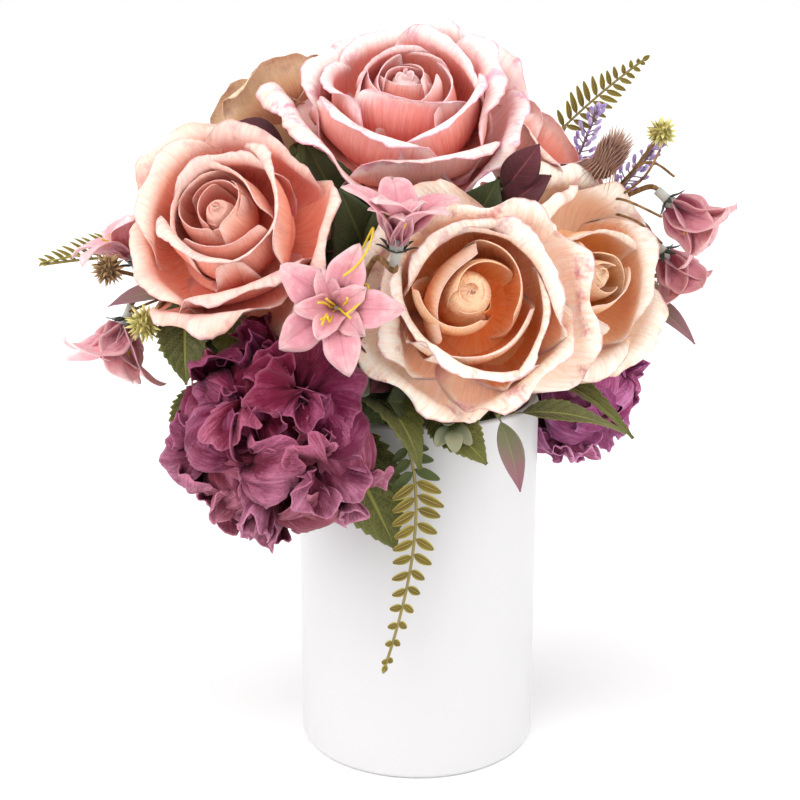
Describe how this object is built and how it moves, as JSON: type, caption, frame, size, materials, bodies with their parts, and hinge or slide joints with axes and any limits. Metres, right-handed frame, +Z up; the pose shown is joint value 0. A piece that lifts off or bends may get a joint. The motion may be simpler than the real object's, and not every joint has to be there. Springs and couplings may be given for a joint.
{
  "type": "floral table centerpiece",
  "caption": "White ceramic cylinder vase with a dome of fabric roses, hydrangeas, star lilies, fern fronds, thistles, lavender and leaves.",
  "frame": {"origin": "centre of the vase's foot, on the surface it stands on", "axes": "+Z up along the vase, -Y towards the display side, +X to the viewer's right"},
  "size_m": [0.2827, 0.2239, 0.2936],
  "materials": {
    "vase_glaze": "satin white glaze",
    "dry_foam": "matt, fine open cells",
    "pink_rose_petal": "pressed satin cloth, pale rims",
    "coral_rose_petal": "pressed satin cloth, pale rims",
    "peach_rose_petal": "pressed satin cloth, mauve blotches",
    "cream_rose_petal": "pressed satin cloth, mauve blotches",
    "tan_rose_petal": "pressed satin cloth",
    "salmon_rose_petal": "pressed satin cloth, pale rims",
    "burgundy_floret": "crinkled cloth, veined",
    "magenta_floret": "crinkled cloth, veined",
    "pink_lily_petal": "soft cloth, deeper at the heart",
    "serrated_leaf": "coated cloth, yellow-green veins",
    "fern_frond": "satin moulded plastic",
    "burgundy_leaf": "coated cloth",
    "dusky_leaf": "coated cloth, pink tips",
    "pale_sprig": "frosted soft plastic",
    "lavender_bud": "matt, fine flock",
    "green_stem": "satin plastic over wire",
    "brown_twig": "satin plastic over wire"
  },
  "bodies": {
    "root": {"vase": "vase_glaze", "floral_foam": "dry_foam", "rose_top": "pink_rose_petal", "rose_top_stem": "green_stem", "rose_left": "coral_rose_petal", "rose_left_stem": "green_stem", "rose_front": "peach_rose_petal", "rose_front_stem": "green_stem", "rose_right": "cream_rose_petal", "rose_right_stem": "green_stem", "rose_back_left": "tan_rose_petal", "rose_back_left_stem": "green_stem", "rose_back_right": "salmon_rose_petal", "rose_back_right_stem": "green_stem", "rose_back": "pink_rose_petal", "rose_back_stem": "green_stem", "hydrangea_front": "burgundy_floret", "hydrangea_front_stem": "serrated_leaf", "hydrangea_right": "magenta_floret", "hydrangea_right_stem": "serrated_leaf", "hydrangea_back": "burgundy_floret", "hydrangea_back_stem": "serrated_leaf", "fern_left": "fern_frond", "fern_right": "fern_frond", "fern_hanging": "fern_frond", "fern_back": "fern_frond", "lily_left_low": "pink_lily_petal", "lily_left_high": "pink_lily_petal", "twig_left": "brown_twig", "lily_centre_high": "pink_lily_petal", "lily_centre_low": "pink_lily_petal", "twig_centre": "brown_twig", "lily_right_high": "pink_lily_petal", "lily_right_low": "pink_lily_petal", "twig_right": "brown_twig", "lily_back": "pink_lily_petal", "twig_back": "brown_twig", "lavender_left": "lavender_bud", "lavender_right": "lavender_bud", "leaves_burgundy_left": "burgundy_leaf", "leaves_burgundy_right": "burgundy_leaf", "leaves_burgundy_low": "burgundy_leaf", "leaves_dusky_front": "dusky_leaf", "leaves_dusky_left": "dusky_leaf", "leaves_dusky_right": "dusky_leaf", "sprig_left": "pale_sprig", "sprig_front": "pale_sprig", "sprig_right": "pale_sprig"}
  },
  "joints": []
}
